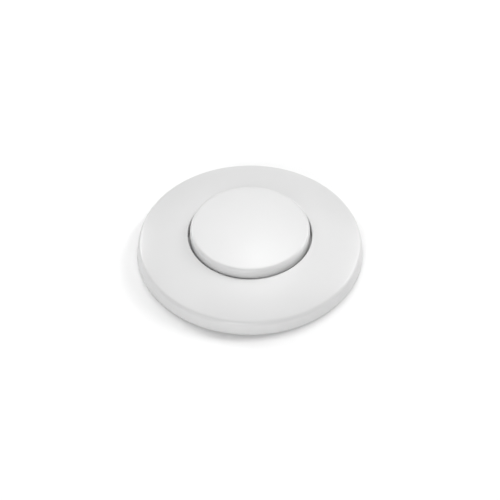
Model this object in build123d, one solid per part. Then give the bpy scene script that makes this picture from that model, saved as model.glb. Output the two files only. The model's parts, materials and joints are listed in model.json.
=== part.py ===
from build123d import *
import math
import os

# Battery-powered round push-button switch: a flat puck with one large domed button.
# Millimetres. +Z is up, the origin is on the resting surface under the centre,
# and -Y is the front. Its outside is turned about Z.

# ---- driving dimensions: outside ---------------------------------------------
body_diameter = 60.0          # outer rim of the cover, at its foot
overall_height = 10.25        # resting surface to the crown of the button
foot_gap = 0.4                # housing underside above the resting surface
shell_thickness = 1.6         # cover face, and the wall at its foot
wall_draft = 7.0              # lean of the side wall, degrees
shoulder_radius = 1.3         # rounding between the side wall and the sloping face
shoulder_inner_radius = 0.5
lip_slope = 6.0               # fall of the face at the opening, degrees
face_bow = 56.0               # radius of the face's outward bow
lip_below_crown = 3.2         # lip of the opening below the button's crown
lip_round = 0.25              # rounding of the opening's lip
edge_break = 0.2              # rounding of the rim's bottom edge
overlap = 0.5                 # how far a feature reaches into the body it joins
overcut = 1.0                 # how far a cut runs past the surface it opens

# ---- driving dimensions: button ----------------------------------------------
button_diameter = 31.6
button_gap = 0.6              # between the button and the opening, all round
button_skin = 1.5             # thickness at the crown
button_crown = 1.0            # crown above the button's edge corner
button_inner_crown = 0.7      # the same inside the cap
button_edge_radius = 1.05
skirt_thickness = 1.4
press_travel = 0.4
flange_width = 1.5            # retaining flange outside the skirt
flange_thickness = 0.7
flange_stop_gap = 0.05        # flange below the collar at rest
under_button_space = 1.2      # below the pressed button's flange
collar_thickness = 1.2
guide_rib_width = 2.8
guide_slot_gap = 0.15
guide_count = 3
peg_merge = 0.2               # spring pegs into the cap

# ---- driving dimensions: base -------------------------------------------------
base_floor = 1.6
base_gap = 0.15               # base plate inside the cover's wall
base_chamfer = 0.5
foot_radius = 3.5
foot_recess = 0.7
foot_edge_gap = 0.75          # from a foot's recess to the base plate's edge
foot_count = 4
foot_fit_gap = 0.1
boss_radius = 2.4             # cover bosses for the case screws
boss_clear = 0.95             # from the collar to a boss
case_screw_radius = 0.95
case_screw_head = 1.9
case_screw_head_height = 0.8
case_screw_grip = 2.0         # threaded length inside a boss
screw_count = 3
screw_gap = 0.15
wall_screw_radius = 1.6       # narrow end of a keyhole
wall_head_radius = 2.9        # round end of a keyhole
keyhole_reach = 4.2           # from the round end's centre to the narrow end's centre
keyhole_clear = 0.45          # from the button's flange to the round end
head_round = 0.35             # screw heads, as shares of the head's height and radius:
recess_depth = 0.6            # rounding and recess by height, arms by radius
recess_length = 1.1
recess_width = 0.25

# ---- driving dimensions: coin cell and its door -------------------------------
cell_diameter = 20.0
cell_thickness = 3.2
cell_gap = 0.4                # round the cell
cell_lift = 0.1               # cell above the closed door
cap_inset = 1.2               # the cap inside the edge of the can
cap_height = 0.3
cap_round = 0.18
gasket_width = 0.5
gasket_depth = 0.9            # below the top of the cell
gasket_lip = 0.05             # above the can
cradle_thickness = 0.9
door_thickness = 1.2
door_gap = 0.2
door_edge = 1.2               # door wider than the cell's bay
lug_reach = 1.1
lug_thickness = 0.5
lug_gap = 0.1
lug_angle = 24.0
lug_entry_gap = 2.0           # entry notch wider than a lug, degrees
lug_stop_gap = 3.0            # from a turned lug to its stop, degrees
lug_stop_angle = 4.0
lug_count = 3
door_turn = 30.0
coin_slot_width = 1.8
coin_slot_length = 13.0
coin_slot_depth = 0.6
door_ring_roof = 0.8
door_ring_wall = 1.0          # base plate's ring outside the lug groove
clip_width = 4.0              # positive clip
clip_thickness = 0.2
clip_bearing = 0.02
clip_lift = 0.6               # clip's end above the cell's underside
clip_tab = 3.2
clip_window_gap = 0.2
leaf_width = 3.0              # negative spring
leaf_thickness = 0.15
leaf_foot = 3.0               # length that lies on the board
leaf_cradle_gap = 1.4         # from the leaf's end to the cradle
leaf_pad = 1.0                # half the length that bears on the cap
leaf_toe = 0.6
leaf_heel = 0.2

# ---- driving dimensions: board and switch -------------------------------------
contact_space = 0.7           # between the cell and the board
board_thickness = 0.8
board_gap = 0.5               # board inside the button's skirt
board_rim = 0.1               # from a post or a spring to the board's rim
board_hole_gap = 0.1
post_radius = 1.4
board_screw_radius = 0.75
board_screw_head = 1.35
board_screw_head_height = 0.5
board_screw_grip = 2.6
switch_size = 6.0
switch_body_height = 0.9
switch_cover_thickness = 0.1
switch_well_radius = 2.2
switch_well_floor = 0.25
dome_rise = 0.4
dome_thickness = 0.08
dome_hem = 0.05               # upright edge of the snap dome
dome_side_gap = 0.15          # round the snap dome in its well
terminal_length = 1.2
terminal_width = 0.7
terminal_thickness = 0.2
terminal_place = 0.3          # share of the switch's side
plunger_stem_radius = 1.25
plunger_flange_radius = 1.8
plunger_flange_thickness = 0.15
plunger_height = 1.5          # plunger top above the board
plunger_round = 0.15
slide_gap = 0.08
touch_gap = 0.02
boss_bottom_radius = 2.0
# width, depth, height, x, y and turn of the pieces soldered to the board
radio_chip_place = (4.0, 4.0, 0.75, -6.6, 2.6, 0)
crystal_place = (2.0, 1.6, 0.5, -6.6, -1.9, 0)
antenna_place = (5.0, 2.0, 0.6, 5.4, 6.0, -42)
capacitor_size = (1.6, 0.8, 0.6)
capacitor_places = [(-3.6, 5.6, 0), (-5.4, 6.6, 0), (-8.6, -2.0, 90), (-4.4, -4.6, 0),
                    (6.6, -3.4, 90)]
resistor_size = (1.0, 0.5, 0.35)
resistor_places = [(-0.8, 6.2, 90), (0.8, 6.2, 90), (8.2, -3.4, 90), (5.2, -5.2, 0)]

# ---- driving dimensions: return springs ---------------------------------------
spring_radius = 1.05          # to the middle of the wire
spring_wire = 0.15            # wire radius
spring_length = 4.0           # with the button up
spring_turns = 5
spring_side_gap = 0.25
spring_peg_radius = 0.65
spring_peg_length = 1.0
spring_count = 3

# ---- places worked out from the dimensions ------------------------------------
body_radius = body_diameter / 2
button_radius = button_diameter / 2
opening_radius = button_radius + button_gap
collar_radius = opening_radius + collar_thickness
lip_z = overall_height - lip_below_crown
bow_centre_r = opening_radius - face_bow * math.sin(math.radians(lip_slope))
bow_centre_z = lip_z - face_bow * math.cos(math.radians(lip_slope))

base_bottom = foot_gap
base_top = base_bottom + base_floor
base_radius = body_radius - shell_thickness - base_gap
door_top = base_bottom + door_thickness
cell_radius = cell_diameter / 2
cell_bottom = door_top + cell_lift
cell_top = cell_bottom + cell_thickness
cradle_inner = cell_radius + cell_gap
cradle_outer = cradle_inner + cradle_thickness
board_bottom = cell_top + contact_space
board_top = board_bottom + board_thickness
skirt_inner = button_radius - skirt_thickness
board_radius = skirt_inner - board_gap
plunger_top = board_top + plunger_height

skirt_bottom = base_top + press_travel + under_button_space
flange_top = skirt_bottom + flange_thickness
flange_radius = button_radius + flange_width
collar_bottom = flange_top + flange_stop_gap
rib_bottom = skirt_bottom - touch_gap

door_radius = cradle_inner + door_edge
door_hole_radius = door_radius + door_gap
lug_radius = door_radius + lug_reach
groove_radius = lug_radius + lug_gap
lug_low = door_top - lug_thickness
groove_low = lug_low - lug_gap
groove_high = door_top + lug_gap
cap_radius = cell_radius - cap_inset
gasket_outer = cap_radius + gasket_width
gasket_low = cell_top - gasket_depth
clip_low = cell_bottom + clip_lift
door_ring_radius = groove_radius + door_ring_wall
door_ring_top = groove_high + door_ring_roof

post_circle = board_radius - post_radius - board_rim
spring_circle = board_radius - spring_radius - spring_wire - board_rim
spring_seat = door_ring_top
spring_top = spring_seat + spring_length
spring_outer = spring_radius + spring_wire
boss_circle = collar_radius + boss_clear + boss_radius
foot_circle = base_radius - foot_edge_gap - foot_radius
keyhole_x = flange_radius + keyhole_clear + wall_head_radius

screw_angles = [90 + 360 / screw_count * i for i in range(screw_count)]
spring_angles = [30 + 360 / spring_count * i for i in range(spring_count)]
foot_angles = [45 + 360 / foot_count * i for i in range(foot_count)]
guide_angles = [60 + 360 / guide_count * i for i in range(guide_count)]
lug_angles = [60 + 360 / lug_count * i for i in range(lug_count)]
UPWARD = (Align.CENTER, Align.CENTER, Align.MIN)


# ---- helpers -------------------------------------------------------------------
def rod(radius, low, high, x=0.0, y=0.0):
    """An upright cylinder between two heights."""
    return Pos(x, y, low) * Cylinder(radius, high - low, align=UPWARD)


def tube(inner, outer, low, high, x=0.0, y=0.0):
    """An upright tube between two heights."""
    return rod(outer, low, high, x, y) - rod(inner, low, high, x, y)


def block(width, depth, low, high, x=0.0, y=0.0, turn=0.0):
    """A box between two heights, turned about its own centre."""
    return Pos(x, y, low) * Rot(0, 0, turn) * Box(width, depth, high - low, align=UPWARD)


def at(angle, radius):
    """The x and y of a place on a circle about Z."""
    return (radius * math.cos(math.radians(angle)), radius * math.sin(math.radians(angle)))


def turned(corners):
    """A solid of revolution about Z from (radius, height, rounding) corners."""
    points = [(r, z) for r, z, rounding in corners]
    rounds = [rounding for r, z, rounding in corners]
    outline = Plane.XZ * FilletPolyline(*points, radius=rounds, close=True)
    return revolve(make_face(outline), Axis.Z)


def arc_segment(inner, outer, low, high, middle, spread):
    """Part of a tube that spans an angle about its middle direction."""
    section = Pos((inner + outer) / 2, (low + high) / 2) * Rectangle(outer - inner, high - low)
    swept = revolve(Plane.XZ * section, Axis.Z, spread)
    return Rot(0, 0, middle - spread / 2) * swept


def crown_radius(reach, rise):
    """Radius of an arc that is level at the axis and falls by a rise at a reach."""
    return (reach ** 2 + rise ** 2) / (2 * rise)


def domed(outer_reach, outer_top, outer_rise, inner_reach, inner_top, inner_rise, low):
    """A dome with a skirt, open below: two crowned faces and a level bottom edge."""
    outline = Plane.XZ * (
        Line((0, inner_top), (0, outer_top))
        + RadiusArc((0, outer_top), (outer_reach, outer_top - outer_rise),
                    crown_radius(outer_reach, outer_rise))
        + Polyline((outer_reach, outer_top - outer_rise), (outer_reach, low),
                   (inner_reach, low), (inner_reach, inner_top - inner_rise))
        + RadiusArc((inner_reach, inner_top - inner_rise), (0, inner_top),
                    -crown_radius(inner_reach, inner_rise))
    )
    return revolve(make_face(outline), Axis.Z)


def nearest_corner(section, place):
    """The corner of a flat section that lies nearest to a place in its plane."""
    x, y = place
    return section.vertices().sort_by(lambda corner: math.hypot(corner.X - x, corner.Y - y))[0]


def save(solid, node):
    export_step(solid, f"parts/{node}.step")


# ---- case ----------------------------------------------------------------------
def face_height(radius, depth=0.0):
    """Height of the cover's bowed face at a radius, or of a surface that deep under it."""
    bow = face_bow - depth
    return bow_centre_z + math.sqrt(bow ** 2 - (radius - bow_centre_r) ** 2)


def wall_point(height):
    """A place on the cover's leaning outer wall, or on that wall carried upwards."""
    lean = (height - base_bottom) * math.tan(math.radians(wall_draft))
    return (body_radius - lean, height)


def rim_meeting():
    """Where the leaning wall carried upwards meets the bowed face."""
    height = face_height(body_radius)
    for step in range(20):
        height = face_height(wall_point(height)[0])
    return wall_point(height)


def cover():
    """Cover: bowed face, leaning wall, opening collar, screw bosses and guide ribs."""
    wall_inner = body_radius - shell_thickness
    foot_corner = (body_radius, base_bottom)
    rim_corner = rim_meeting()
    lip_corner = (opening_radius, lip_z)
    collar_corner = (collar_radius, face_height(collar_radius, shell_thickness))
    wall_corner = (wall_inner, face_height(wall_inner, shell_thickness))
    outline = (
        Polyline((wall_inner, base_bottom), foot_corner, rim_corner)
        + RadiusArc(lip_corner, rim_corner, face_bow)
        + Polyline(lip_corner, (opening_radius, collar_bottom),
                   (collar_radius, collar_bottom), collar_corner)
        + RadiusArc(collar_corner, wall_corner, face_bow - shell_thickness)
        + Line(wall_corner, (wall_inner, base_bottom))
    )
    section = make_face(outline)
    rounds = {
        foot_corner: edge_break,
        rim_corner: shoulder_radius,
        lip_corner: lip_round,
        wall_corner: shoulder_inner_radius,
    }
    for corner, rounding in rounds.items():
        section = fillet(nearest_corner(section, corner), rounding)
    shell = revolve(Plane.XZ * section, Axis.Z)
    roof = face_height(boss_circle, shell_thickness)
    for angle in screw_angles:
        x, y = at(angle, boss_circle)
        shell += rod(boss_radius, base_top, roof + shell_thickness / 2, x, y)
        hole_top = base_top + case_screw_grip + screw_gap
        shell -= rod(case_screw_radius, base_top, hole_top, x, y)
    for angle in guide_angles:
        middle = (opening_radius + collar_radius) / 2
        x, y = at(angle, middle)
        shell += block(collar_thickness, guide_rib_width, rib_bottom, collar_bottom + overlap,
                       x, y, angle)
    return shell


def button():
    """Push button: domed cap, skirt, retaining flange, centre boss and spring pegs."""
    inner_top = overall_height - button_skin
    inner_edge_z = inner_top - button_inner_crown
    cap = domed(button_radius, overall_height, button_crown,
                skirt_inner, inner_top, button_inner_crown, skirt_bottom)
    rim = cap.edges().filter_by(GeomType.CIRCLE).filter_by(
        lambda edge: abs(edge.radius - button_radius) < 1e-3).sort_by(Axis.Z)[-1]
    cap = fillet(rim, button_edge_radius)
    cap += tube(skirt_inner + overlap, flange_radius, skirt_bottom, flange_top)
    slot_width = guide_rib_width + 2 * guide_slot_gap
    slot_start = opening_radius - guide_slot_gap
    for angle in guide_angles:
        reach = flange_radius + overcut - slot_start
        x, y = at(angle, slot_start + reach / 2)
        cap -= block(reach, slot_width, skirt_bottom - overcut, flange_top + overcut, x, y, angle)
    cap += rod(boss_bottom_radius, plunger_top + touch_gap, overall_height - button_skin / 2)
    peg_roof = inner_edge_z + peg_merge
    for angle in spring_angles:
        x, y = at(angle, spring_circle)
        cap += rod(spring_outer, spring_top, peg_roof, x, y)
        cap += rod(spring_peg_radius, spring_top - spring_peg_length, peg_roof, x, y)
    return cap


def base():
    """Base plate: cell cradle, door ring, board posts, spring seats and fixings."""
    plate = turned([
        (0, base_bottom, 0),
        (base_radius, base_bottom, 0),
        (base_radius, base_top, 0),
        (0, base_top, 0),
    ])
    top_edge = plate.edges().filter_by(GeomType.CIRCLE).sort_by(Axis.Z)[-1]
    plate = chamfer(top_edge, base_chamfer)
    plate += rod(door_ring_radius, base_bottom, door_ring_top)
    plate += rod(cradle_outer, base_bottom, board_bottom)
    for angle in screw_angles:
        x, y = at(angle, post_circle)
        plate += rod(post_radius, base_bottom, board_bottom, x, y)
    for angle in spring_angles:
        x, y = at(angle, spring_circle)
        plate += rod(spring_outer + spring_side_gap, base_bottom, spring_seat, x, y)
    plate -= rod(cradle_inner, base_bottom, board_bottom + overcut)
    plate -= rod(door_hole_radius, base_bottom, groove_high)
    plate -= rod(groove_radius, groove_low, groove_high)
    for angle in lug_angles:
        plate -= arc_segment(cradle_inner, groove_radius, base_bottom, groove_high,
                             angle - door_turn, lug_angle + lug_entry_gap)
    for angle in lug_angles:
        stop = angle + lug_angle / 2 + lug_stop_gap
        plate += arc_segment(door_hole_radius, groove_radius + overlap, groove_low, groove_high,
                             stop, lug_stop_angle)
    for angle in screw_angles:
        x, y = at(angle, post_circle)
        hole_low = board_bottom - board_screw_grip - screw_gap
        plate -= rod(board_screw_radius, hole_low, board_bottom, x, y)
        x, y = at(angle, boss_circle)
        seat = base_bottom + case_screw_head_height + screw_gap
        plate -= rod(case_screw_head + screw_gap, base_bottom, seat, x, y)
        plate -= rod(case_screw_radius + screw_gap, base_bottom, base_top, x, y)
    for angle in foot_angles:
        x, y = at(angle, foot_circle)
        recess_top = base_bottom + foot_recess
        plate -= rod(foot_radius + foot_fit_gap, base_bottom, recess_top, x, y)
    for side in (-1, 1):
        x = side * keyhole_x
        y = -keyhole_reach / 2
        plate -= rod(wall_head_radius, base_bottom, base_top, x, y)
        plate -= rod(wall_screw_radius, base_bottom, base_top, x, y + keyhole_reach)
        plate -= block(2 * wall_screw_radius, keyhole_reach, base_bottom, base_top, x,
                       y + keyhole_reach / 2)
    plate -= clip_window()
    return plate


def door():
    """Battery door: disc with bayonet lugs and a coin slot underneath."""
    disc = rod(door_radius, base_bottom, door_top)
    for angle in lug_angles:
        disc += arc_segment(door_radius - overlap, lug_radius, lug_low, door_top, angle, lug_angle)
    slot_top = base_bottom + coin_slot_depth
    disc -= block(coin_slot_length, coin_slot_width, base_bottom, slot_top)
    return disc


def feet():
    """Rubber feet in the recesses of the base plate."""
    found = []
    for angle in foot_angles:
        x, y = at(angle, foot_circle)
        found.append(rod(foot_radius, 0, base_bottom + foot_recess, x, y))
    return Compound(children=found)


# ---- fasteners -------------------------------------------------------------------
def screw(x, y, seat, shank_radius, length, head_radius, head_height, head_up):
    """A pan-head screw with a cross recess; the head sits on the seat height."""
    way = 1 if head_up else -1
    head_low = seat if head_up else seat - head_height
    head = rod(head_radius, head_low, head_low + head_height, x, y)
    outer_z = seat + way * head_height
    rim = head.edges().filter_by(GeomType.CIRCLE).sort_by(
        lambda edge: abs(edge.center().Z - outer_z))[0]
    head = fillet(rim, head_height * head_round)
    shank_low = seat - length if head_up else seat
    body = head + rod(shank_radius, shank_low, shank_low + length, x, y)
    recess = head_height * recess_depth
    recess_low = outer_z - recess if head_up else outer_z
    for turn in (45, 135):
        body -= block(head_radius * recess_length, head_radius * recess_width, recess_low,
                      recess_low + recess, x, y, turn)
    return body


def case_screws():
    """Case screws, from below through the base plate into the cover's bosses."""
    seat = base_bottom + case_screw_head_height + screw_gap
    length = base_top - seat + case_screw_grip
    found = []
    for angle in screw_angles:
        x, y = at(angle, boss_circle)
        found.append(screw(x, y, seat, case_screw_radius, length, case_screw_head,
                           case_screw_head_height, False))
    return Compound(children=found)


def board_screws():
    """Screws that hold the circuit board on the base plate's posts."""
    found = []
    for angle in screw_angles:
        x, y = at(angle, post_circle)
        length = board_thickness + board_screw_grip
        found.append(screw(x, y, board_top, board_screw_radius, length, board_screw_head,
                           board_screw_head_height, True))
    return Compound(children=found)


# ---- battery and contacts ---------------------------------------------------------
def cell_can():
    """Coin cell's positive can: closed at the bottom, open above round the gasket."""
    can = rod(cell_radius, cell_bottom, cell_top - cap_height)
    return can - rod(gasket_outer, gasket_low, cell_top)


def cell_gasket():
    """Plastic ring that parts the can from the cap."""
    return tube(cap_radius, gasket_outer, gasket_low, cell_top - cap_height + gasket_lip)


def cell_cap():
    """Coin cell's negative cap."""
    cap = rod(cap_radius, gasket_low, cell_top)
    rim = cap.edges().filter_by(GeomType.CIRCLE).sort_by(Axis.Z)[-1]
    return fillet(rim, cap_round)


def clip_window():
    """Cut in the cradle for the positive clip."""
    middle = cell_radius + cell_gap + cradle_thickness / 2
    return block(cradle_thickness + 2 * cell_gap, clip_width + 2 * clip_window_gap,
                 clip_low - clip_window_gap, board_bottom + overcut, -middle, 0)


def positive_clip():
    """Strip that hangs from the board and bears on the can's side."""
    inner = cell_radius + clip_bearing
    leg = block(clip_thickness, clip_width, clip_low, board_bottom,
                -(inner + clip_thickness / 2), 0)
    tab_middle = inner + clip_tab / 2
    tab = block(clip_tab, clip_width, board_bottom - clip_thickness, board_bottom,
                -tab_middle, 0)
    return leg + tab


def negative_spring():
    """Leaf that hangs from the board and bears on the cap."""
    tip = cell_top + touch_gap
    end = cradle_inner - leaf_cradle_gap
    leaf_arm = end - leaf_foot
    outline = Plane.XZ * Polyline(
        (end, board_bottom),
        (end, board_bottom - leaf_thickness),
        (leaf_arm, board_bottom - leaf_thickness),
        (leaf_pad, tip),
        (-leaf_pad, tip),
        (-leaf_pad - leaf_toe, tip + leaf_thickness),
        (-leaf_pad - leaf_toe, tip + 2 * leaf_thickness),
        (-leaf_pad, tip + leaf_thickness),
        (leaf_pad, tip + leaf_thickness),
        (leaf_arm - leaf_heel, board_bottom),
        close=True)
    return extrude(make_face(outline), leaf_width / 2, both=True)


# ---- board -------------------------------------------------------------------------
def circuit_board():
    """Round board with screw holes and notches for the return springs."""
    board = rod(board_radius, board_bottom, board_top)
    for angle in screw_angles:
        x, y = at(angle, post_circle)
        board -= rod(board_screw_radius + board_hole_gap, board_bottom, board_top, x, y)
    for angle in spring_angles:
        notch = spring_outer + spring_side_gap
        x, y = at(angle, spring_circle)
        board -= rod(notch, board_bottom, board_top, x, y)
        x, y = at(angle, spring_circle + notch)
        board -= block(2 * notch, 2 * notch, board_bottom, board_top, x, y, angle)
    return board


def switch_base():
    """Tactile switch's body with a round well for the snap dome."""
    body = block(switch_size, switch_size, board_top, board_top + switch_body_height)
    return body - rod(switch_well_radius, board_top + switch_well_floor,
                      board_top + switch_body_height)


def switch_cover():
    """Sheet-metal cover that keeps the plunger in the tactile switch."""
    low = board_top + switch_body_height / 2
    top = board_top + switch_body_height + switch_cover_thickness
    outer = switch_size + 2 * switch_cover_thickness
    shell = block(outer, outer, low, top)
    shell -= block(switch_size, switch_size, low, top - switch_cover_thickness)
    return shell - rod(plunger_stem_radius + slide_gap, low, top)


def switch_terminals():
    """Four solder legs of the tactile switch."""
    found = []
    for x_side in (-1, 1):
        for y_side in (-1, 1):
            x = x_side * (switch_size + terminal_length) / 2
            y = y_side * switch_size * terminal_place
            found.append(block(terminal_length, terminal_width, board_top,
                               board_top + terminal_thickness, x, y))
    return Compound(children=found)


def contact_dome():
    """Snap dome: a shallow sheet cap standing in the switch's well."""
    low = board_top + switch_well_floor
    top = low + dome_rise
    reach = switch_well_radius - dome_side_gap
    rise = dome_rise - dome_hem
    return domed(reach, top, rise,
                 reach - dome_thickness, top - dome_thickness, rise - dome_thickness, low)


def switch_plunger():
    """Plunger of the tactile switch: a flange under the cover and a stem above it."""
    flange_low = board_top + switch_well_floor + dome_rise + touch_gap
    flange = rod(plunger_flange_radius, flange_low, flange_low + plunger_flange_thickness)
    stem = rod(plunger_stem_radius, flange_low, plunger_top)
    rim = stem.edges().filter_by(GeomType.CIRCLE).sort_by(Axis.Z)[-1]
    return flange + fillet(rim, plunger_round)


def soldered(place):
    """One chip's block on the board."""
    width, depth, height, x, y, turn = place
    return block(width, depth, board_top, board_top + height, x, y, turn)


def small_chips(size, places):
    """Identical chips as separate solids."""
    return Compound(children=[soldered(size + place) for place in places])


# ---- return springs -----------------------------------------------------------------
def return_springs():
    """Compression springs between the base plate and the button's pegs."""
    height = spring_length - 2 * spring_wire
    found = []
    for angle in spring_angles:
        path = Helix(height / spring_turns, height, spring_radius)
        section = Plane(path @ 0, z_dir=path % 0) * Circle(spring_wire)
        coil = sweep(section, path=path, is_frenet=True)
        x, y = at(angle, spring_circle)
        found.append(Pos(x, y, spring_seat + spring_wire) * coil)
    return Compound(children=found)


os.makedirs("parts", exist_ok=True)
save(cover(), "top_cover")
save(button(), "push_button")
save(base(), "base_plate")
save(door(), "battery_door")
save(feet(), "rubber_feet")
save(case_screws(), "case_screws")
save(board_screws(), "board_screws")
save(cell_can(), "cell_can")
save(cell_gasket(), "cell_gasket")
save(cell_cap(), "cell_cap")
save(positive_clip(), "positive_clip")
save(negative_spring(), "negative_spring")
save(circuit_board(), "circuit_board")
save(switch_base(), "switch_base")
save(switch_cover(), "switch_cover")
save(switch_terminals(), "switch_terminals")
save(contact_dome(), "contact_dome")
save(switch_plunger(), "switch_plunger")
save(soldered(radio_chip_place), "radio_chip")
save(soldered(crystal_place), "crystal")
save(soldered(antenna_place), "chip_antenna")
save(small_chips(capacitor_size, capacitor_places), "capacitors")
save(small_chips(resistor_size, resistor_places), "resistors")
save(return_springs(), "return_springs")
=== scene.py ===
import bpy
import json
import math
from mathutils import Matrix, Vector


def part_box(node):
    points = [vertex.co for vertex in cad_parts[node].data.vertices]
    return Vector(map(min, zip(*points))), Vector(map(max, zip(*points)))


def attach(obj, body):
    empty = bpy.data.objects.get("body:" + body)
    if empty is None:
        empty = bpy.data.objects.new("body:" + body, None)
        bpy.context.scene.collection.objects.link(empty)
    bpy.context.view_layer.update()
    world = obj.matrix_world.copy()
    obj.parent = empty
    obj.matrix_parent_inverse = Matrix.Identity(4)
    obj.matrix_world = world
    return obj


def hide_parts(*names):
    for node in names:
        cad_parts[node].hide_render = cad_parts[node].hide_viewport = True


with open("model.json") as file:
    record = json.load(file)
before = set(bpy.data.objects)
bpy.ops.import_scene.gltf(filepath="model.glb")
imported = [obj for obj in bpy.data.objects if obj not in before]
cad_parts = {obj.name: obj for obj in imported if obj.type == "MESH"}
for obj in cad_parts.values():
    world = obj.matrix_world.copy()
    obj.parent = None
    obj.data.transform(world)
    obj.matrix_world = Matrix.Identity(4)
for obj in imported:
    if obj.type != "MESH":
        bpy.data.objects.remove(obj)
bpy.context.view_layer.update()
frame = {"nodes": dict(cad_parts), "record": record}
nodes = frame["nodes"]

# ---- sizes, in metres: overall ones from the frame, the rest of the maker's drawing ------
MM = 0.001
BASE_TO_RIM = 1.75 * MM
BASE_THICKNESS = 1.6 * MM
RIM_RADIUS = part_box("base_plate")[1].x + BASE_TO_RIM
CROWN_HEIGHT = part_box("push_button")[1].z
HOUSING_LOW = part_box("top_cover")[0].z
SKIRT_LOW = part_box("push_button")[0].z
FOOT_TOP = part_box("rubber_feet")[1].z
FOOT_CIRCLE_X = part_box("rubber_feet")[1].x
BASE_TOP = HOUSING_LOW + BASE_THICKNESS
SHELL = 1.6 * MM
WALL_LEAN = math.radians(7)
SHOULDER = 1.3 * MM
SHOULDER_INSIDE = 0.5 * MM
LIP_BELOW_CROWN = 3.2 * MM
LIP_SLOPE = math.radians(6)
LIP_ROUND = 0.25 * MM
FACE_BOW = 56 * MM
RIM_BREAK = 0.2 * MM
COLLAR = 1.2 * MM
BUTTON_RADIUS = 15.8 * MM
BUTTON_GAP = 0.6 * MM
BUTTON_CROWN = 1.0 * MM
BUTTON_INNER_CROWN = 0.7 * MM
BUTTON_EDGE = 1.05 * MM
BUTTON_SKIN = 1.5 * MM
SKIRT = 1.4 * MM
FLANGE_RADIUS = 17.3 * MM
FLANGE = 0.7 * MM
STOP_GAP = 0.05 * MM
BOSS_CIRCLE = 20.95 * MM
BOSS_RADIUS = 2.4 * MM
BOSS_HOLE = 0.95 * MM
BOSS_HOLE_DEPTH = 2.15 * MM
BOSS_TURNS = (90, 210, 330)
RIB_TURNS = (60, 180, 300)
RIB_WIDTH = 2.8 * MM
RIB_BREAK = 0.1 * MM
RIB_REACH = 0.02 * MM
FOOT_RADIUS = 3.5 * MM
FOOT_ROUND = 0.35 * MM
FOOT_TURNS = (45, 135, 225, 315)

# ---- how finely the pieces are modelled -------------------------------------------------------
POLE = 0.0001 * MM
MERGE = 0.001 * MM
RING = 256
SMALL_RING = 64
SMOOTH_BELOW = math.radians(35)
BREAK_STEPS = 5
SHOULDER_STEPS = 12
FACE_STEPS = 24
LIP_STEPS = 8
UNDERSIDE_STEPS = 12
BUTTON_EDGE_STEPS = 14
BUTTON_STEPS = 28
BUTTON_INSIDE_STEPS = 10
FOOT_STEPS = 6
# a dome's arc stops just short of upright, and POLE closes it
DOME_END = 89.7
DOME_INSIDE_END = 89.5


# ---- modelling helpers ----------------------------------------------------------------------
def deselect():
    bpy.ops.object.select_all(action="DESELECT")


def place_at(turn_angle, circle):
    """The x and y of a place on a circle about Z."""
    angle = math.radians(turn_angle)
    return circle * math.cos(angle), circle * math.sin(angle)


def arc(centre, radius, start, end, steps):
    """(radius, height) places along an arc about a centre; angles in degrees from outwards."""
    places = []
    for step in range(steps + 1):
        angle = math.radians(start + (end - start) * step / steps)
        places.append((centre[0] + radius * math.cos(angle), centre[1] + radius * math.sin(angle)))
    return places


def turned(name, outline, centre=(0, 0), ring=RING):
    """Turns an outline of (radius, height) places about an upright line through a centre.

    A circle is extruded and scaled from place to place. An end at POLE closes to one point,
    and an outline that ends where it began closes on itself.
    """
    x, y = centre
    deselect()
    first_radius, first_height = outline[0]
    bpy.ops.mesh.primitive_circle_add(
        vertices=ring, radius=first_radius, location=(x, y, first_height))
    piece = bpy.context.active_object
    piece.name = name
    bpy.ops.object.transform_apply(location=True, rotation=True, scale=True)
    bpy.ops.object.mode_set(mode="EDIT")
    bpy.ops.mesh.select_all(action="SELECT")
    for (radius, height), (next_radius, next_height) in zip(outline, outline[1:]):
        bpy.ops.mesh.extrude_edges_move(
            TRANSFORM_OT_translate={"value": (0, 0, next_height - height)})
        ratio = next_radius / radius
        bpy.ops.transform.resize(value=(ratio, ratio, 1), center_override=(x, y, next_height))
    bpy.ops.mesh.select_all(action="SELECT")
    bpy.ops.mesh.remove_doubles(threshold=MERGE)
    bpy.ops.mesh.normals_make_consistent(inside=False)
    bpy.ops.object.mode_set(mode="OBJECT")
    bpy.ops.object.shade_smooth_by_angle(angle=SMOOTH_BELOW)
    return piece


# ---- cover ------------------------------------------------------------------------------------
OPENING_RADIUS = BUTTON_RADIUS + BUTTON_GAP
COLLAR_RADIUS = OPENING_RADIUS + COLLAR
COLLAR_LOW = SKIRT_LOW + FLANGE + STOP_GAP
LIP_HEIGHT = CROWN_HEIGHT - LIP_BELOW_CROWN
BOW_RADIUS = OPENING_RADIUS - FACE_BOW * math.sin(LIP_SLOPE)
BOW_HEIGHT = LIP_HEIGHT - FACE_BOW * math.cos(LIP_SLOPE)


def face_angle(bow, radius):
    """Where a bowed face crosses a radius, as an angle about the bow's centre."""
    return math.degrees(math.acos((radius - BOW_RADIUS) / bow))


def face_height(bow, radius):
    """Height of a bowed face at a radius."""
    return BOW_HEIGHT + math.sqrt(bow ** 2 - (radius - BOW_RADIUS) ** 2)


def corner_round(bow, wall, rounding, side, lean=0.0):
    """Centre and end angle of the rounding between a wall and the bowed face.

    wall is its radius at the housing's underside. side is 1 where the wall is outside
    the face's stretch and -1 where it is inside, and lean is how far it leans inwards.
    """
    climb = math.tan(lean)
    start = wall + HOUSING_LOW * climb - side * rounding / math.cos(lean) - BOW_RADIUS
    reach = bow - rounding
    middle = start * climb + BOW_HEIGHT
    scale = 1 + climb ** 2
    rest = start ** 2 + BOW_HEIGHT ** 2 - reach ** 2
    height = (middle + math.sqrt(middle ** 2 - scale * rest)) / scale
    radius = BOW_RADIUS + start - climb * height
    return (radius, height), face_angle(reach, radius)


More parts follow.
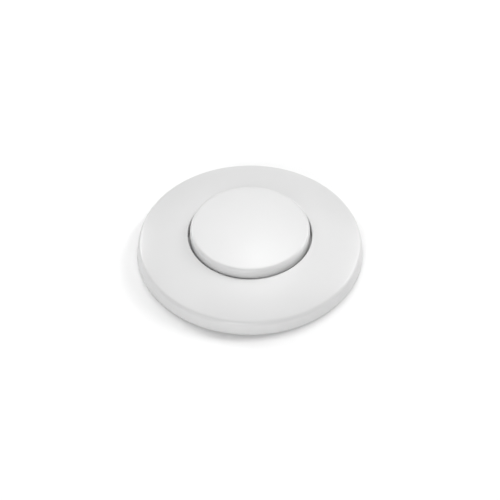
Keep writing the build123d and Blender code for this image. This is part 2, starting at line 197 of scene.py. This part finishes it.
def cover():
    """Shell with the bowed face, leaning wall, rounded shoulder and lip, and the collar."""
    wall_inside = RIM_RADIUS - SHELL
    lean = math.degrees(WALL_LEAN)
    shoulder_centre, shoulder_angle = corner_round(FACE_BOW, RIM_RADIUS, SHOULDER, 1, WALL_LEAN)
    lip_centre, lip_angle = corner_round(FACE_BOW, OPENING_RADIUS, LIP_ROUND, -1)
    inner_bow = FACE_BOW - SHELL
    inner_centre, inner_angle = corner_round(inner_bow, wall_inside, SHOULDER_INSIDE, 1)
    break_inset = RIM_BREAK * (math.tan(WALL_LEAN) + 1 / math.cos(WALL_LEAN))
    break_centre = (RIM_RADIUS - break_inset, HOUSING_LOW + RIM_BREAK)
    bow_centre = (BOW_RADIUS, BOW_HEIGHT)
    outline = [(wall_inside, HOUSING_LOW)]
    outline += arc(break_centre, RIM_BREAK, -90, lean, BREAK_STEPS)
    outline += arc(shoulder_centre, SHOULDER, lean, shoulder_angle, SHOULDER_STEPS)
    outline += arc(bow_centre, FACE_BOW, shoulder_angle, lip_angle, FACE_STEPS)[1:]
    outline += arc(lip_centre, LIP_ROUND, lip_angle, 180, LIP_STEPS)[1:]
    outline += [(OPENING_RADIUS, COLLAR_LOW), (COLLAR_RADIUS, COLLAR_LOW)]
    collar_angle = face_angle(inner_bow, COLLAR_RADIUS)
    outline += arc(bow_centre, inner_bow, collar_angle, inner_angle, UNDERSIDE_STEPS)
    outline += arc(inner_centre, SHOULDER_INSIDE, inner_angle, 0, BREAK_STEPS)[1:]
    outline += [(wall_inside, HOUSING_LOW)]
    return turned("cover_shell", outline)


def cover_boss(number, turn_angle):
    """Post under the cover's face with the hole that a case screw cuts its thread in."""
    roof = face_height(FACE_BOW - SHELL, BOSS_CIRCLE + BOSS_RADIUS)
    hole_top = BASE_TOP + BOSS_HOLE_DEPTH
    outline = [(POLE, hole_top), (BOSS_HOLE, hole_top), (BOSS_HOLE, BASE_TOP)]
    outline += [(BOSS_RADIUS, BASE_TOP), (BOSS_RADIUS, roof), (POLE, roof)]
    return turned(f"cover_boss_{number}", outline, place_at(turn_angle, BOSS_CIRCLE), SMALL_RING)


def guide_rib(number, turn_angle):
    """Rib under the collar that keeps the button from turning."""
    deselect()
    low = SKIRT_LOW - RIB_REACH
    middle = (OPENING_RADIUS + COLLAR_RADIUS) / 2
    x, y = place_at(turn_angle, middle)
    bpy.ops.mesh.primitive_cube_add(
        size=1, location=(x, y, (low + COLLAR_LOW) / 2), rotation=(0, 0, math.radians(turn_angle)),
        scale=(COLLAR, RIB_WIDTH, COLLAR_LOW - low))
    rib = bpy.context.active_object
    rib.name = f"cover_rib_{number}"
    bpy.ops.object.transform_apply(location=True, rotation=True, scale=True)
    bpy.ops.object.mode_set(mode="EDIT")
    bpy.ops.mesh.select_all(action="SELECT")
    bpy.ops.mesh.bevel(offset=RIB_BREAK, segments=2, affect="EDGES")
    bpy.ops.object.mode_set(mode="OBJECT")
    bpy.ops.object.shade_smooth_by_angle(angle=SMOOTH_BELOW)
    return rib


# ---- button -----------------------------------------------------------------------------------
def dome_radius(reach, rise):
    """Radius of a dome that falls by a rise at a reach from its middle."""
    return (reach ** 2 + rise ** 2) / (2 * rise)


def button():
    """Domed cap with a rounded edge, a skirt and the flange that keeps it in the cover."""
    bow = dome_radius(BUTTON_RADIUS, BUTTON_CROWN)
    bow_height = CROWN_HEIGHT - bow
    reach = bow - BUTTON_EDGE
    edge_radius = BUTTON_RADIUS - BUTTON_EDGE
    edge_height = bow_height + math.sqrt(reach ** 2 - edge_radius ** 2)
    edge_angle = math.degrees(math.acos(edge_radius / reach))
    flange_high = SKIRT_LOW + FLANGE
    inside = BUTTON_RADIUS - SKIRT
    under = CROWN_HEIGHT - BUTTON_SKIN
    inner_bow = dome_radius(inside, BUTTON_INNER_CROWN)
    inner_angle = math.degrees(math.acos(inside / inner_bow))
    outline = [(POLE, under)]
    inner_centre = (0, under - inner_bow)
    outline += arc(inner_centre, inner_bow, DOME_INSIDE_END, inner_angle, BUTTON_INSIDE_STEPS)
    outline += [(inside, SKIRT_LOW), (FLANGE_RADIUS, SKIRT_LOW), (FLANGE_RADIUS, flange_high)]
    outline += [(BUTTON_RADIUS, flange_high)]
    edge_centre = (edge_radius, edge_height)
    outline += arc(edge_centre, BUTTON_EDGE, 0, edge_angle, BUTTON_EDGE_STEPS)
    outline += arc((0, bow_height), bow, edge_angle, DOME_END, BUTTON_STEPS)[1:]
    outline += [(POLE, CROWN_HEIGHT)]
    return turned("button_cap", outline)


# ---- feet -------------------------------------------------------------------------------------
def foot(number, turn_angle):
    """Round rubber foot with a rounded lower edge."""
    circle = (FOOT_CIRCLE_X - FOOT_RADIUS) * math.sqrt(2)
    outline = [(POLE, 0)]
    edge_centre = (FOOT_RADIUS - FOOT_ROUND, FOOT_ROUND)
    outline += arc(edge_centre, FOOT_ROUND, -90, 0, FOOT_STEPS)
    outline += [(FOOT_RADIUS, FOOT_TOP), (POLE, FOOT_TOP)]
    return turned(f"rubber_foot_{number}", outline, place_at(turn_angle, circle), SMALL_RING)


# ---- materials --------------------------------------------------------------------------------
def linear(hexcode):
    """A hex sRGB colour as linear RGBA."""
    channels = [int(hexcode[i:i + 2], 16) / 255 for i in (0, 2, 4)]
    return tuple(c / 12.92 if c <= 0.04045 else ((c + 0.055) / 1.055) ** 2.4
                 for c in channels) + (1.0,)


def add(tree, kind, inputs=None, **settings):
    """Adds a node. An input is a number, a colour or another node's output to link."""
    node = tree.nodes.new(kind)
    for name, value in settings.items():
        setattr(node, name, value)
    for key, value in (inputs or {}).items():
        if isinstance(value, bpy.types.NodeSocket):
            tree.links.new(value, node.inputs[key])
        else:
            node.inputs[key].default_value = value
    return node


def new_material(name, roughness, metallic=0.0, **sockets):
    """A material with its shader's constants set, and its object coordinates."""
    material = bpy.data.materials.new(name)
    material.use_nodes = True
    tree = material.node_tree
    shader = tree.nodes["Principled BSDF"]
    shader.inputs["Roughness"].default_value = roughness
    shader.inputs["Metallic"].default_value = metallic
    for name, value in sockets.items():
        shader.inputs[name.replace("_", " ")].default_value = value
    place = add(tree, "ShaderNodeTexCoord").outputs["Object"]
    return material, tree, shader, place


def ramp(tree, factor, colours):
    """Colours spread evenly over a factor."""
    node = add(tree, "ShaderNodeValToRGB", {"Fac": factor})
    elements = node.color_ramp.elements
    while len(elements) < len(colours):
        elements.new(0.5)
    for i, colour in enumerate(colours):
        elements[i].position = i / (len(colours) - 1)
        elements[i].color = linear(colour)
    return node.outputs["Color"]


def grain(tree, place, size, detail=3.0, rough=0.5):
    """Cloudy noise whose lumps are about a real size across."""
    return add(tree, "ShaderNodeTexNoise", {
        "Vector": place, "Scale": 1 / size, "Detail": detail, "Roughness": rough}).outputs["Fac"]


def raise_surface(tree, shader, height, depth, strength=1.0):
    """Bump of a real depth on a shader."""
    bump = add(tree, "ShaderNodeBump", {"Height": height, "Distance": depth, "Strength": strength})
    tree.links.new(bump.outputs["Normal"], shader.inputs["Normal"])


def vary_roughness(tree, shader, factor, low, high):
    """Roughness that follows a factor between two values."""
    spread = add(tree, "ShaderNodeMapRange", {"Value": factor, "To Min": low, "To Max": high})
    tree.links.new(spread.outputs["Result"], shader.inputs["Roughness"])


def satin_abs(name, pale, dark):
    """White ABS from a finely blasted mould: an even satin sheen with soft, wide highlights."""
    material, tree, shader, place = new_material(name, 0.32, IOR=1.53)
    flow = grain(tree, place, 14 * MM, 2.0)
    tree.links.new(ramp(tree, flow, [dark, pale]), shader.inputs["Base Color"])
    # blasted mould grit of 0.05 mm, drawn three times as coarse so that it shows up close
    pitting = grain(tree, place, 0.15 * MM, 2.0)
    vary_roughness(tree, shader, pitting, 0.29, 0.35)
    raise_surface(tree, shader, pitting, 0.004 * MM, 0.5)
    return material


def sparked_abs():
    """White ABS from a spark-eroded mould: dull and evenly grained, for the side nobody sees."""
    material, tree, shader, place = new_material("sparked_abs", 0.62, IOR=1.53)
    flow = grain(tree, place, 10 * MM, 2.0)
    tree.links.new(ramp(tree, flow, ["CDCDCB", "D6D6D4"]), shader.inputs["Base Color"])
    crater = add(tree, "ShaderNodeTexVoronoi", {"Vector": place, "Scale": 1 / (0.35 * MM)})
    raise_surface(tree, shader, crater.outputs["Distance"], 0.03 * MM, 0.7)
    return material


def moulded_silicone():
    """Grey silicone rubber: dull, slightly dusty, with a faint mottle."""
    material, tree, shader, place = new_material("moulded_silicone", 0.78, IOR=1.43)
    dust = grain(tree, place, 1.2 * MM, 4.0)
    tree.links.new(ramp(tree, dust, ["4E4F52", "5C5D60"]), shader.inputs["Base Color"])
    raise_surface(tree, shader, grain(tree, place, 0.2 * MM), 0.01 * MM, 0.6)
    return material


def zinc_plate():
    """Steel screws in bright zinc: a cool metal with a slightly cloudy shine."""
    material, tree, shader, place = new_material("zinc_plate", 0.3, 1.0)
    cloud = grain(tree, place, 0.8 * MM)
    tree.links.new(ramp(tree, cloud, ["A9AEB4", "C3C7CB"]), shader.inputs["Base Color"])
    vary_roughness(tree, shader, cloud, 0.24, 0.38)
    return material


def nickel_plate():
    """Coin cell in nickel-plated steel: warm grey, drawn with fine scuffs from handling."""
    material, tree, shader, place = new_material("nickel_plate", 0.28, 1.0)
    scuff = add(tree, "ShaderNodeMapping", {"Vector": place, "Scale": (1, 12, 1)})
    lines = grain(tree, scuff.outputs["Vector"], 1.5 * MM, 5.0)
    tree.links.new(ramp(tree, lines, ["B4B0A8", "CFCBC3"]), shader.inputs["Base Color"])
    vary_roughness(tree, shader, lines, 0.2, 0.36)
    return material


def rolled_spring_steel():
    """Bright rolled spring steel: a dark mirror with faint rolling lines."""
    material, tree, shader, place = new_material("rolled_spring_steel", 0.24, 1.0)
    rolling = add(tree, "ShaderNodeTexWave", {
        "Vector": place, "Scale": 1 / (0.4 * MM), "Distortion": 1.5, "Detail": 2.0})
    tree.links.new(ramp(tree, rolling.outputs["Fac"], ["A3A19C", "B9B7B2"]),
                   shader.inputs["Base Color"])
    vary_roughness(tree, shader, rolling.outputs["Fac"], 0.2, 0.3)
    return material


def nylon_gasket():
    """Dark blue nylon seal: dull with a slight waxy sheen."""
    material, tree, shader, place = new_material("nylon_gasket", 0.5, IOR=1.53)
    cloud = grain(tree, place, 0.6 * MM)
    tree.links.new(ramp(tree, cloud, ["2A2F42", "343A50"]), shader.inputs["Base Color"])
    return material


def solder_mask():
    """Green lacquer over copper tracks: glossy, paler and a hair higher over each track."""
    material, tree, shader, place = new_material("solder_mask", 0.3, IOR=1.55, Coat_Weight=0.4)
    tracks = add(tree, "ShaderNodeTexBrick", {
        "Vector": place, "Scale": 1 / (4 * MM), "Mortar Size": 0.06, "Color1": (0, 0, 0, 1),
        "Color2": (0, 0, 0, 1), "Mortar": (1, 1, 1, 1), "Brick Width": 0.5, "Row Height": 0.25})
    tree.links.new(ramp(tree, tracks.outputs["Color"], ["1C5A30", "2F7A45"]),
                   shader.inputs["Base Color"])
    raise_surface(tree, shader, tracks.outputs["Color"], 0.03 * MM, 0.6)
    return material


def filled_nylon():
    """Black moulding compound: charcoal, dull, with pale specks of glass filler."""
    material, tree, shader, place = new_material("filled_nylon", 0.55, IOR=1.53)
    speck = grain(tree, place, 0.12 * MM, 2.0, 0.7)
    tree.links.new(ramp(tree, speck, ["1A1A1B", "232324", "34353A"]), shader.inputs["Base Color"])
    raise_surface(tree, shader, speck, 0.01 * MM, 0.4)
    return material


def wet_tin():
    """Reflowed tin on the terminals: bright with soft ripples."""
    material, tree, shader, place = new_material("wet_tin", 0.22, 1.0)
    ripple = grain(tree, place, 0.5 * MM)
    tree.links.new(ramp(tree, ripple, ["BDBEBE", "D4D5D4"]), shader.inputs["Base Color"])
    raise_surface(tree, shader, ripple, 0.02 * MM, 0.5)
    return material


def fired_ceramic(name, pale, dark):
    """Fired ceramic chip: chalky, with a fine grain and a faint speckle."""
    material, tree, shader, place = new_material(name, 0.6, IOR=1.6)
    speckle = grain(tree, place, 0.2 * MM, 3.0)
    tree.links.new(ramp(tree, speckle, [dark, pale]), shader.inputs["Base Color"])
    raise_surface(tree, shader, speckle, 0.01 * MM, 0.4)
    return material


def seamless_paper():
    """Pale studio paper that the object lies on."""
    material, tree, shader, place = new_material("seamless_paper", 0.9)
    fibre = grain(tree, place, 3 * MM)
    tree.links.new(ramp(tree, fibre, ["F6F6F6", "F8F8F8"]), shader.inputs["Base Color"])
    return material


# ---- the view ------------------------------------------------------------------------------
CAMERA_ELEVATION = 45.9
CAMERA_DISTANCE = 18 * RIM_RADIUS
AIM_HEIGHT = 0.8 * MM
RIM_SHARE_OF_VIEW = 0.22534
SENSOR = 36.0
NEAREST = 0.01
FURTHEST = 20


def direction(azimuth, elevation):
    """Unit vector towards a place round the object; azimuth 0 is the front, 90 the right."""
    side, rise = math.radians(azimuth), math.radians(elevation)
    return Vector((math.sin(side) * math.cos(rise), -math.cos(side) * math.cos(rise),
                   math.sin(rise)))


def face_along(thing, way):
    """Turns a camera or a light to look along a direction."""
    thing.rotation_mode = "QUATERNION"
    thing.rotation_quaternion = way.to_track_quat("-Z", "Y")


def camera():
    """A long lens that looks down at the object from the front, 18 rim radii away."""
    data = bpy.data.cameras.new("view_camera")
    view = bpy.data.objects.new("view_camera", data)
    bpy.context.scene.collection.objects.link(view)
    back = direction(0, CAMERA_ELEVATION)
    view.location = Vector((0, 0, AIM_HEIGHT)) + back * CAMERA_DISTANCE
    face_along(view, -back)
    data.sensor_width = SENSOR
    data.lens = SENSOR * CAMERA_DISTANCE / RIM_RADIUS * RIM_SHARE_OF_VIEW
    data.clip_start = NEAREST
    data.clip_end = FURTHEST
    bpy.context.scene.camera = view


# softbox diameters and their distance from the object, in metres
WIDE_BOX = 1.0
PLAIN_BOX = 0.36
KEY_BOX = 0.18
LIGHT_DISTANCE = 1.0
FLOOR_SIDE = 4


def softbox(name, azimuth, elevation, power, size=PLAIN_BOX):
    """A round diffused light that faces the object."""
    data = bpy.data.lights.new(name, "AREA")
    data.shape = "DISK"
    data.size = size
    data.energy = power
    lamp = bpy.data.objects.new(name, data)
    bpy.context.scene.collection.objects.link(lamp)
    way = direction(azimuth, elevation)
    lamp.location = way * LIGHT_DISTANCE
    face_along(lamp, -way)


def floor():
    deselect()
    bpy.ops.mesh.primitive_plane_add(size=FLOOR_SIDE)
    sheet = bpy.context.active_object
    sheet.name = "floor"
    sheet.data.materials.append(seamless_paper())


def dark_studio():
    """Surroundings that give no light, so that all of it comes from the softboxes."""
    world = bpy.data.worlds.new("studio")
    bpy.context.scene.world = world
    world.use_nodes = True
    world.node_tree.nodes["Background"].inputs["Strength"].default_value = 0


# ---- putting it together ---------------------------------------------------------------------
camera()
floor()
dark_studio()
# wide boxes fill evenly, plain ones shape the shoulder and the side, the key lights the dome
softbox("back_wide", 180, 60, 4.5, WIDE_BOX)
softbox("front_wide", 0, 30, 3.5, WIDE_BOX)
softbox("front_left", 345, 25, 2.5)
softbox("left_low", 315, 25, 1.0)
softbox("right", 120, 40, 2.5)
softbox("right_low", 105, 25, 1.5)
softbox("back_right_low", 135, 25, 2.0)
softbox("back_left_low", 225, 25, 3.0)
softbox("left_high", 240, 60, 0.5)
softbox("key", 175, 58, 1.0, KEY_BOX)

FINISHES = {
    "white_cover": satin_abs("satin_abs", "D9D9D9", "D5D5D5"),
    "white_button": satin_abs("satin_abs_button", "DBDBDB", "D7D7D7"),
    "white_base": sparked_abs(),
    "rubber": moulded_silicone(),
    "screw_steel": zinc_plate(),
    "cell_steel": nickel_plate(),
    "spring_steel": rolled_spring_steel(),
    "gasket_plastic": nylon_gasket(),
    "board_green": solder_mask(),
    "black_plastic": filled_nylon(),
    "solder_tin": wet_tin(),
    "ceramic_white": fired_ceramic("fired_alumina", "E0DED6", "D2D0C8"),
    "ceramic_tan": fired_ceramic("fired_titanate", "A98C66", "977B57"),
}


def fit(piece, body, slot):
    """Gives a new piece its finish and the body that it moves with."""
    piece.data.materials.append(FINISHES[slot])
    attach(piece, body)


for subpart in frame["record"]["subparts"]:
    carried = nodes[subpart["node"]]
    carried.data.materials.clear()
    carried.data.materials.append(FINISHES[subpart["material_slot"]])

shell = cover()
fit(shell, "case", "white_cover")
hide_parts("top_cover")
for number, turn_angle in enumerate(BOSS_TURNS, 1):
    fit(cover_boss(number, turn_angle), "case", "white_cover")
for number, turn_angle in enumerate(RIB_TURNS, 1):
    fit(guide_rib(number, turn_angle), "case", "white_cover")

cap = button()
fit(cap, "button", "white_button")
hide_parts("push_button")

feet = [foot(number, turn_angle) for number, turn_angle in enumerate(FOOT_TURNS, 1)]
for piece in feet:
    fit(piece, "case", "rubber")
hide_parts("rubber_feet")

bpy.context.scene.view_settings.view_transform = "Standard"
